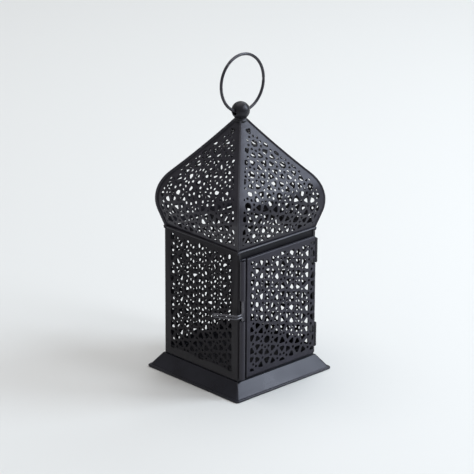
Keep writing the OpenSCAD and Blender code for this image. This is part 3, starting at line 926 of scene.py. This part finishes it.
def raised_strip(mesh, loop, z0, z1, edge=0.15):
    """Raises a strip's counter-clockwise outline in XY from z0 to z1, with rounded ends. Its first
    half is one side of the strip and its second half the other."""
    slim = grown(loop, -edge)
    rows = [(slim, z0), (loop, z0 + edge), (loop, z1 - edge), (slim, z1)]
    m = len(loop)
    points = np.concatenate([np.column_stack([p, np.full(m, z)]) for p, z in rows])
    faces = [[r * m + i, r * m + (i + 1) % m, (r + 1) * m + (i + 1) % m, (r + 1) * m + i]
             for r in range(3) for i in range(m)]
    half = m // 2
    for base, flip in ((0, True), (3 * m, False)):
        for i in range(half - 1):
            quad = [base + i, base + i + 1, base + m - 2 - i, base + m - 1 - i]
            faces.append(quad[::-1] if flip else quad)
    mesh.add(points, faces)


def latch_path(upper_end, lower_end):
    """The middle line of the latch: down, out, round the corner and back again, the hairpin
    sagging a little."""
    reach, bend, gap = 19.5, 68.0, 2.5
    upper, lower = 79.5, 77.0
    upper_r, lower_r = 3.0, 2.0
    a = math.radians(bend)
    way = np.array([-math.cos(a), math.sin(a)])
    corner_r = 3.0
    run = 5  # from the tube to the bend round the corner
    start = PIVOT[:2] + [-run, 0]
    centre = start + [0, corner_r]

    def branch(z, r, end_z, sign):
        """From the tube to the start of the hairpin."""
        down = [np.array([0, 0, z_]) for z_ in np.linspace(end_z, z + sign * r, 12)]
        turn = [np.array([-r * (1 - math.cos(b)), 0, z + sign * r * (1 - math.sin(b))])
                for b in np.radians(np.linspace(8, 90, 9))]
        out = [np.array([x, 0, z]) for x in np.linspace(-r - 0.4, 0.4 - run, 4)]
        line = [p + [PIVOT[0], PIVOT[1], 0] for p in down + turn + out]
        line += [np.array([*(centre + corner_r * np.array([-math.sin(b), -math.cos(b)])), z])
                 for b in np.radians(np.linspace(0, bend, 9))]
        end = line[-1]
        line += [end + np.array([*(way * d), 0]) for d in np.linspace(1.5, reach, 9)]
        return line

    first = branch(upper, upper_r, upper_end, 1)
    last = branch(lower, lower_r, lower_end, -1)
    tip = first[-1] - [0, 0, gap / 2]
    turn = [tip + np.array([*(way * gap / 2 * math.cos(b)), gap / 2 * math.sin(b)])
            for b in np.radians(np.linspace(75, -75, 11))]
    path = np.array(first + turn + last[::-1])
    sag = np.clip(path[:, 1] - centre[1], 0, None) * 0.05
    path[:, 2] -= np.where(path[:, 0] < PIVOT[0] + 1 - run, sag, 0)
    return path


def latch_wire():
    """One wire along the latch's path, its ends a little thinner."""
    lo, hi = cad_box("latch_wire")
    path = latch_path(hi[2], lo[2])
    ring = polar(1, np.linspace(0, 2 * math.pi, 20, endpoint=False))
    wire_r, end_r = 0.98, 0.75
    sections = [ring * wire_r] * len(path)
    sections[0] = sections[-1] = ring * end_r
    mesh = Mesh()
    swept(mesh, path, sections, up=(0, 1, 0))
    mesh.piece("latch_wire", "latch", ["latch_wire"], "wire_metal", LATCH_COAT_PAINTED_LIGHT, sharp=60)


# ---- Hinges ----

KNUCKLE_R = 1.6
KNUCKLE_H = 7.0
KNUCKLE_GAP = 0.3                        # between the door's knuckle and the frame's
BORE_R = 0.98
LEAF_T = 0.5
TAB_IN = 2                               # where a tab to a knuckle starts, inside its leaf


def knuckle(mesh, z0, z1, edge=0.12):
    """A short bored tube on the hinges' axis."""
    r, b = KNUCKLE_R, BORE_R
    profile = [(r - edge, z0), (r, z0 + edge), (r, z1 - edge), (r - edge, z1),
               (b + edge, z1), (b, z1 - edge), (b, z0 + edge), (b + edge, z0)]
    lathe(mesh, profile, 32, (HINGE[0], HINGE[1], 0), closed=True)


def smooth_normals(mesh):
    """Leaves every normal of a mixed mesh to be worked out from its faces."""
    mesh.normals = [0 * n for n in mesh.normals]
    return mesh


def frame_leaf(name, z0):
    """The body's half of a hinge: a leaf with a knuckle at each end."""
    lo, _ = cad_box(name)
    mesh = Mesh()
    y0 = -HALF - LEAF_T
    for z in (z0, z0 + HINGE_H - KNUCKLE_H):
        knuckle(mesh, z, z + KNUCKLE_H)
        plate(mesh, (lo[0] + TAB_IN, y0, z), (HINGE[0] - 0.6, y0 + LEAF_T, z + KNUCKLE_H))
    plate(mesh, (lo[0], y0, z0), (HINGE[0] - KNUCKLE_R - 0.3, y0 + LEAF_T, z0 + HINGE_H))
    smooth_normals(mesh).piece(name, "root", [name], "hardware_metal", HARDWARE_COAT)


def door_leaf(name, z0):
    """The door's half of a hinge: a leaf with a knuckle in the middle."""
    lo, _ = cad_box(name)
    mesh = Mesh()
    z = z0 + KNUCKLE_H + KNUCKLE_GAP
    h = HINGE_H - 2 * (KNUCKLE_H + KNUCKLE_GAP)
    y0 = FACE_Y + SHEET
    leaf_end = 45
    knuckle(mesh, z, z + h)
    plate(mesh, (lo[0] + TAB_IN, y0, z), (HINGE[0] - 1.1, y0 + LEAF_T, z + h))
    plate(mesh, (lo[0], y0, z0), (leaf_end, y0 + LEAF_T, z0 + HINGE_H))
    smooth_normals(mesh).piece(name, "door", [name], "hardware_metal", HARDWARE_COAT)


def hinge_pin(name, z0):
    """A pin through a hinge's knuckles, with a round head at each end."""
    r, head, over = 0.9, 1.3, 1.0
    profile = [(AXIS_R, -over), (0.7, -over + 0.1), (1.15, -over + 0.4), (head, -over + 0.8),
               (head, 0), (r, 0), (r, HINGE_H), (head, HINGE_H), (head, HINGE_H + 0.2),
               (1.15, HINGE_H + 0.6), (0.7, HINGE_H + 0.9), (AXIS_R, HINGE_H + over)]
    mesh = Mesh()
    lathe(mesh, profile, 32, (HINGE[0], HINGE[1], z0))
    mesh.piece(name, "root", [name], "hardware_metal", HARDWARE_COAT)


# ---- The lantern ----

side_panel("left_panel", -90)
side_panel("right_panel", 90)
back_panel()
front_frame()
floor_tray()
base_skirt()
for side, angle in (("front", 0), ("right", 90), ("back", 180), ("left", 270)):
    roof_panel("roof_" + side, angle)
for side, angle in (("front_right", 45), ("back_right", 135), ("back_left", 225), ("front_left", 315)):
    ridge_seam("seam_" + side, angle)
ball_finial()
hanging_ring()
door_panel()
rolled_edge("rolled_edge_upper")
rolled_edge("rolled_edge_lower")
latch_wire()
for level, z0 in zip(("lower", "upper"), HINGE_Z):
    frame_leaf("frame_leaf_" + level, z0)
    door_leaf("door_leaf_" + level, z0)
    hinge_pin("hinge_pin_" + level, z0)
for node in ("apex_washer", "finial_nut"):
    kept = frame["nodes"][node]
    kept.data.materials.clear()
    kept.data.materials.append(INNER_COAT_AND_PAINTED_SHADE)


# ---- Floor, light and camera ----

def plain(name, colour, roughness=0.9):
    material = bpy.data.materials.new(name)
    material.use_nodes = True
    shader = material.node_tree.nodes["Principled BSDF"]
    shader.inputs["Base Color"].default_value = (*colour, 1)
    shader.inputs["Roughness"].default_value = roughness
    shader.inputs["Specular IOR Level"].default_value = 0.2
    return material


def floor():
    """A wide, flat, pale floor."""
    data = bpy.data.meshes.new("floor")
    half = 12.0
    corners = [(-half, -half, 0), (half, -half, 0), (half, half, 0), (-half, half, 0)]
    data.from_pydata(corners, [], [(0, 1, 2, 3)])
    data.materials.append(plain("floor_paper", (0.748, 0.748, 0.735)))
    obj = bpy.data.objects.new("floor", data)
    bpy.context.scene.collection.objects.link(obj)


def area_light(name, place, target, size, power, colour):
    """A rectangular light at place that faces target."""
    data = bpy.data.lights.new(name, "AREA")
    data.shape = "RECTANGLE"
    data.size, data.size_y = size
    data.energy = power
    data.color = colour
    obj = bpy.data.objects.new(name, data)
    obj.location = place
    obj.rotation_euler = (Vector(target) - Vector(place)).to_track_quat("-Z", "Y").to_euler()
    bpy.context.scene.collection.objects.link(obj)


def world(colour, strength):
    scene_world = bpy.data.worlds.new("world")
    scene_world.use_nodes = True
    background = scene_world.node_tree.nodes["Background"]
    background.inputs["Color"].default_value = (*colour, 1)
    background.inputs["Strength"].default_value = strength
    bpy.context.scene.world = scene_world


def camera():
    """Looks at the corner between the door and the left side, a little from above."""
    azimuth, elevation, roll = math.radians(-43.835), math.radians(20.419), math.radians(0.305)
    distance = 2.6261
    aim_right, aim_z = -0.002684, 0.12761
    target = Vector((math.cos(azimuth) * aim_right, math.sin(azimuth) * aim_right, aim_z))
    back = Vector((math.sin(azimuth) * math.cos(elevation), -math.cos(azimuth) * math.cos(elevation),
                   math.sin(elevation)))
    data = bpy.data.cameras.new("camera")
    data.lens = 220.78
    data.sensor_width = 36
    data.clip_start, data.clip_end = 0.1, 60
    obj = bpy.data.objects.new("camera", data)
    obj.location = target + distance * back
    obj.rotation_mode = "QUATERNION"
    level = (-back).to_track_quat("-Z", "Y")
    obj.rotation_quaternion = level @ Quaternion((0, 0, 1), roll)
    bpy.context.scene.collection.objects.link(obj)
    bpy.context.scene.camera = obj


floor()
world((1.0, 1.0, 1.0), 0.36)
area_light("key", (1.45, -1.2, 1.33), (0, 0, 0.12), (0.9, 1.6), 34, (0.80, 0.90, 1))
area_light("side", (1.5, 0.5, 1.5), (0, 0, 0.15), (1.4, 0.5), 7.5, (0.85, 0.93, 1))
area_light("front", (0.5, -1.55, 1.65), (0, 0, 0.15), (0.5, 1.2), 12, (0.86, 0.92, 1))
area_light("top", (0.1, 0.7, 3.0), (0, 0.3, 0), (3, 2.6), 38, (1, 0.98, 0.97))
camera()
bpy.context.scene.view_settings.view_transform = "Standard"
